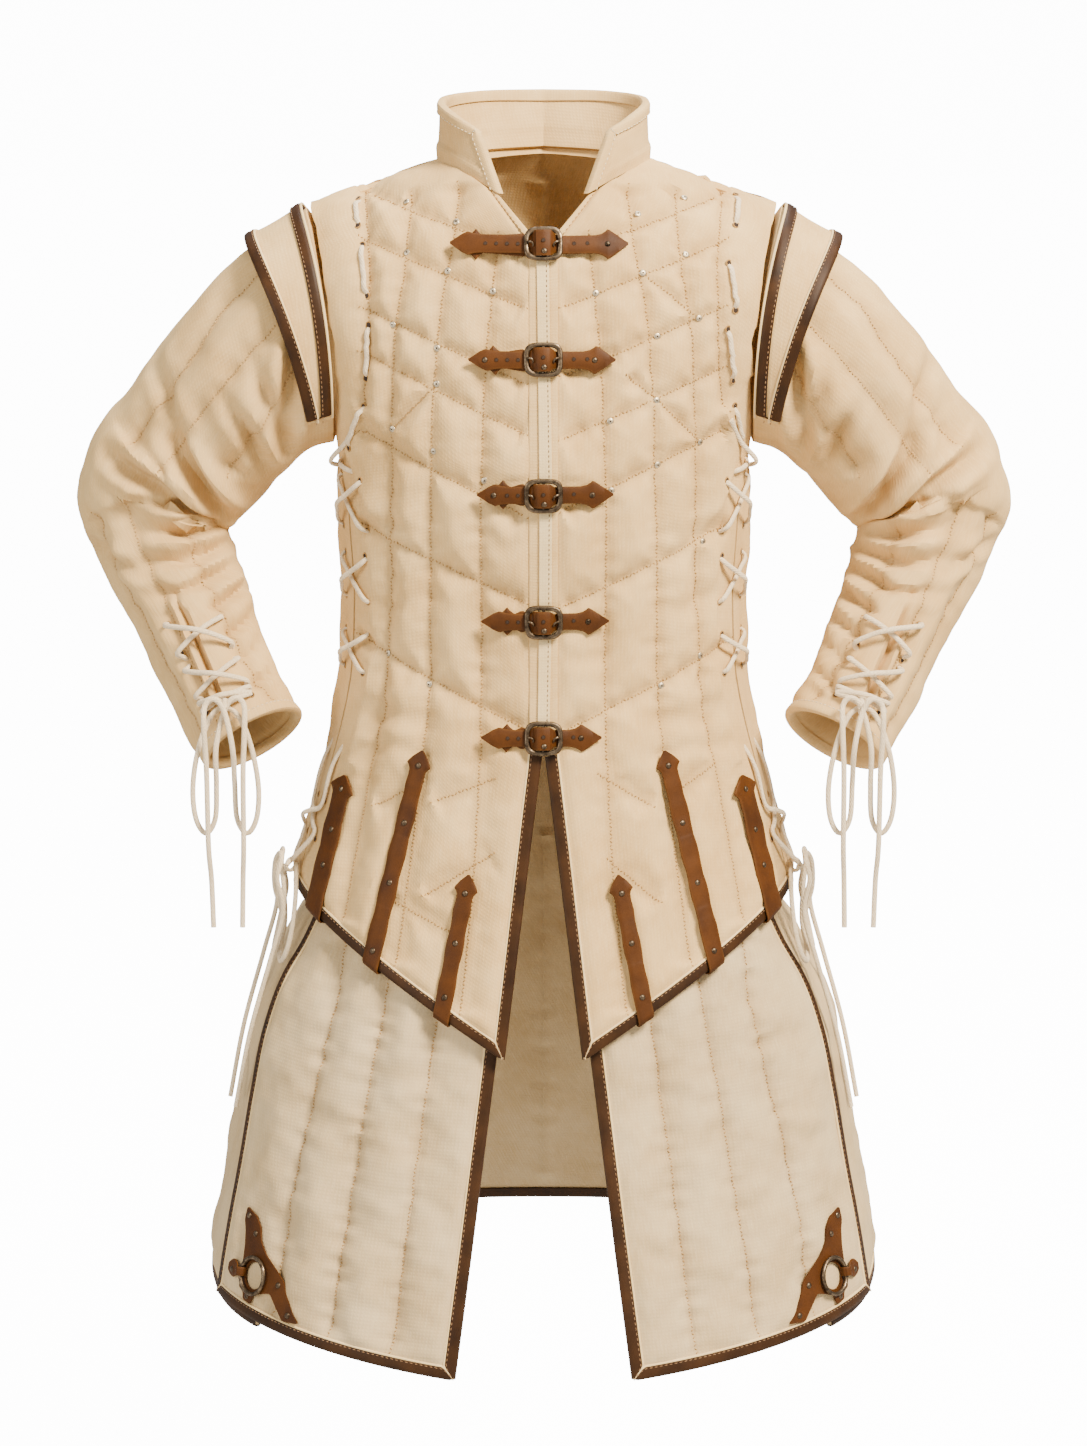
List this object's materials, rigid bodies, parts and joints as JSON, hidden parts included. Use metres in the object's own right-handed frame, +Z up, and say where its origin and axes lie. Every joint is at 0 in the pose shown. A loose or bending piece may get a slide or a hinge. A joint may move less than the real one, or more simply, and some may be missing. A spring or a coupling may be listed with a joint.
{
  "type": "gambeson",
  "caption": "Long-sleeved quilted coat with a stand collar, front buckles, lacing at the sides and cuffs, shoulder wings and split skirts with a ring at each corner.",
  "frame": {"origin": "inside the base of the neck, midway between the shoulder seams and level with them", "axes": "-Y is the way the wearer faces, +X is the wearer's left, +Z is up"},
  "size_m": [0.7862, 0.4592, 1.0316],
  "materials": {
    "quilted_cloth": "matt quilted woven cotton, warm beige",
    "skirt_cloth": "matt quilted woven cotton, greyer beige",
    "cloth_binding": "matt folded cotton strip",
    "leather_binding": "smooth folded leather strip with a soft shine",
    "strap_leather": "matt brown strap leather",
    "lace_cord": "soft round cotton cord",
    "antique_bronze": "dark antique bronze, worn bright on its edges"
  },
  "bodies": {
    "coat": {"anchor_1": "strap_leather", "anchor_2": "strap_leather", "anchor_3": "strap_leather", "anchor_4": "strap_leather", "anchor_5": "strap_leather", "back": "quilted_cloth", "back_hem_binding": "leather_binding", "buckle_1": "antique_bronze", "buckle_2": "antique_bronze", "buckle_3": "antique_bronze", "buckle_4": "antique_bronze", "buckle_5": "antique_bronze", "collar": "quilted_cloth", "collar_binding": "cloth_binding", "corner_plate_left": "strap_leather", "corner_plate_right": "strap_leather", "corner_tab_left": "strap_leather", "corner_tab_right": "strap_leather", "cuff_binding_left": "cloth_binding", "cuff_binding_right": "cloth_binding", "cuff_lace_a_left": "lace_cord", "cuff_lace_a_right": "lace_cord", "cuff_lace_b_left": "lace_cord", "cuff_lace_b_right": "lace_cord", "front_binding_left": "cloth_binding", "front_binding_right": "cloth_binding", "front_left": "quilted_cloth", "front_right": "quilted_cloth", "hem_binding_left": "leather_binding", "hem_binding_right": "leather_binding", "side_lace_a_left": "lace_cord", "side_lace_a_right": "lace_cord", "side_lace_b_left": "lace_cord", "side_lace_b_right": "lace_cord", "skirt_back": "skirt_cloth", "skirt_back_binding": "leather_binding", "skirt_front_binding_left": "leather_binding", "skirt_front_binding_right": "leather_binding", "skirt_front_left": "skirt_cloth", "skirt_front_right": "skirt_cloth", "skirt_strap_inner_left": "strap_leather", "skirt_strap_inner_right": "strap_leather", "skirt_strap_middle_left": "strap_leather", "skirt_strap_middle_right": "strap_leather", "skirt_strap_outer_left": "strap_leather", "skirt_strap_outer_right": "strap_leather", "sleeve_left": "quilted_cloth", "sleeve_right": "quilted_cloth", "tongue_1": "strap_leather", "tongue_2": "strap_leather", "tongue_3": "strap_leather", "tongue_4": "strap_leather", "tongue_5": "strap_leather", "wing_binding_left": "leather_binding", "wing_binding_right": "leather_binding", "wing_left": "quilted_cloth", "wing_right": "quilted_cloth"},
    "ring_left": {"corner_ring_left": "antique_bronze"},
    "ring_right": {"corner_ring_right": "antique_bronze"}
  },
  "joints": [
    {"name": "ring_left_swing", "type": "hinge", "parent": "coat", "child": "ring_left", "pos_m": [0.25396, -0.12854, -0.9238], "axis": [-0.1421, 0.1787, 0.9736], "range_deg": [0, 100]},
    {"name": "ring_right_swing", "type": "hinge", "parent": "coat", "child": "ring_right", "pos_m": [-0.25396, -0.12854, -0.9238], "axis": [-0.1421, -0.1787, -0.9736], "range_deg": [0, 100]}
  ]
}
